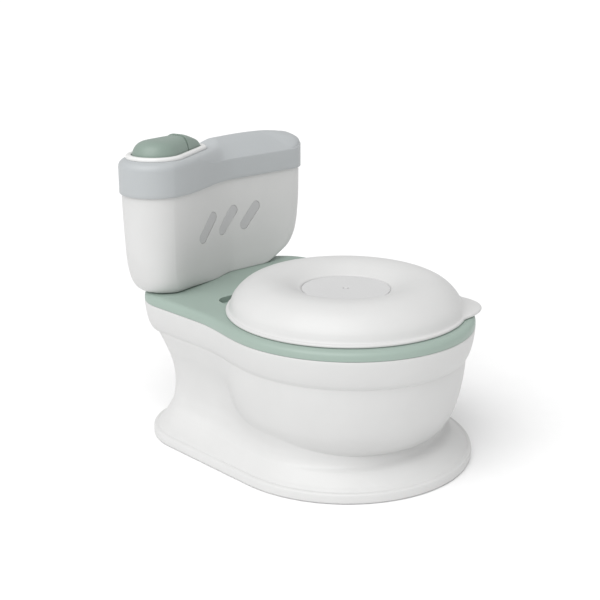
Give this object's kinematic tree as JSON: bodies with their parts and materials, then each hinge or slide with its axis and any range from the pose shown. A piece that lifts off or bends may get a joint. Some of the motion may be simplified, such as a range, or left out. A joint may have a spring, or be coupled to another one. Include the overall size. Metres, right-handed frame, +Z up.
{
  "type": "potty training chair",
  "caption": "Child's potty chair shaped like a small toilet: hollow base, seat deck, lift-out pot, lift-off lid and a tank with flush buttons.",
  "frame": {"origin": "on the floor under the middle of the chair's outline", "axes": "+Z up; -Y is the front, where the child's feet go; the tank stands at +Y; +X is to the right seen from the front, and the tank's button end is at -X"},
  "size_m": [0.279, 0.3769, 0.3267],
  "materials": {
    "shell_white": "satin moulded polypropylene",
    "seat_green": "fine-grained moulded polypropylene",
    "lid_white": "satin moulded polypropylene",
    "inlay_grey": "matt",
    "tank_white": "satin moulded polypropylene",
    "window_grey": "matt",
    "tank_lid_grey": "fine-grained moulded polypropylene",
    "bezel_white": "gloss",
    "button_green": "satin",
    "module_white": "matt moulded case",
    "board_green": "lacquered circuit board",
    "component_black": "matt",
    "cell_sleeve": "printed sleeve, no text",
    "steel": "zinc-plated",
    "foot_rubber": "matt"
  },
  "bodies": {
    "base": {"base_shell": "shell_white", "seat_deck": "seat_green", "tank_shell": "tank_white", "tank_window_1": "window_grey", "tank_window_2": "window_grey", "tank_window_3": "window_grey", "foot_front_right": "foot_rubber", "foot_front_left": "foot_rubber", "foot_rear_right": "foot_rubber", "foot_rear_left": "foot_rubber", "deck_screw_front_right": "steel", "deck_screw_front_left": "steel", "deck_screw_rear_right": "steel", "deck_screw_rear_left": "steel", "tank_screw_left": "steel", "tank_screw_right": "steel"},
    "pot": {"pot": "shell_white"},
    "seat_lid": {"lid": "lid_white", "lid_inlay_disc": "inlay_grey"},
    "tank_cover": {"tank_lid": "tank_lid_grey", "button_bezel": "bezel_white", "sound_module_case": "module_white", "battery_door": "module_white", "circuit_board": "board_green", "tact_switch_large": "component_black", "tact_switch_small": "component_black", "speaker": "component_black", "battery_cell_1": "cell_sleeve", "battery_cell_2": "cell_sleeve", "battery_contact_left": "steel", "battery_contact_right": "steel", "button_spring_large": "steel", "button_spring_small": "steel", "battery_door_screw": "steel", "case_screw_front": "steel", "case_screw_left": "steel", "case_screw_right": "steel"},
    "large_button": {"flush_button_large": "button_green"},
    "small_button": {"flush_button_small": "button_green"}
  },
  "joints": [
    {"name": "pot_lift", "type": "slide", "parent": "base", "child": "pot", "axis": [0, 0, 1], "range_m": [0, 0.13]},
    {"name": "lid_lift", "type": "slide", "parent": "pot", "child": "seat_lid", "axis": [0, 0, 1], "range_m": [0, 0.08]},
    {"name": "tank_lid_lift", "type": "slide", "parent": "base", "child": "tank_cover", "axis": [0, 0, 1], "range_m": [0, 0.12]},
    {"name": "large_button_press", "type": "slide", "parent": "tank_cover", "child": "large_button", "axis": [0, 0, -1], "range_m": [0, 0.003], "stiffness_N_per_m": 300, "springref_m": -0.002, "deforming": ["button_spring_large"]},
    {"name": "small_button_press", "type": "slide", "parent": "tank_cover", "child": "small_button", "axis": [0, 0, -1], "range_m": [0, 0.003], "stiffness_N_per_m": 300, "springref_m": -0.002, "deforming": ["button_spring_small"]}
  ]
}
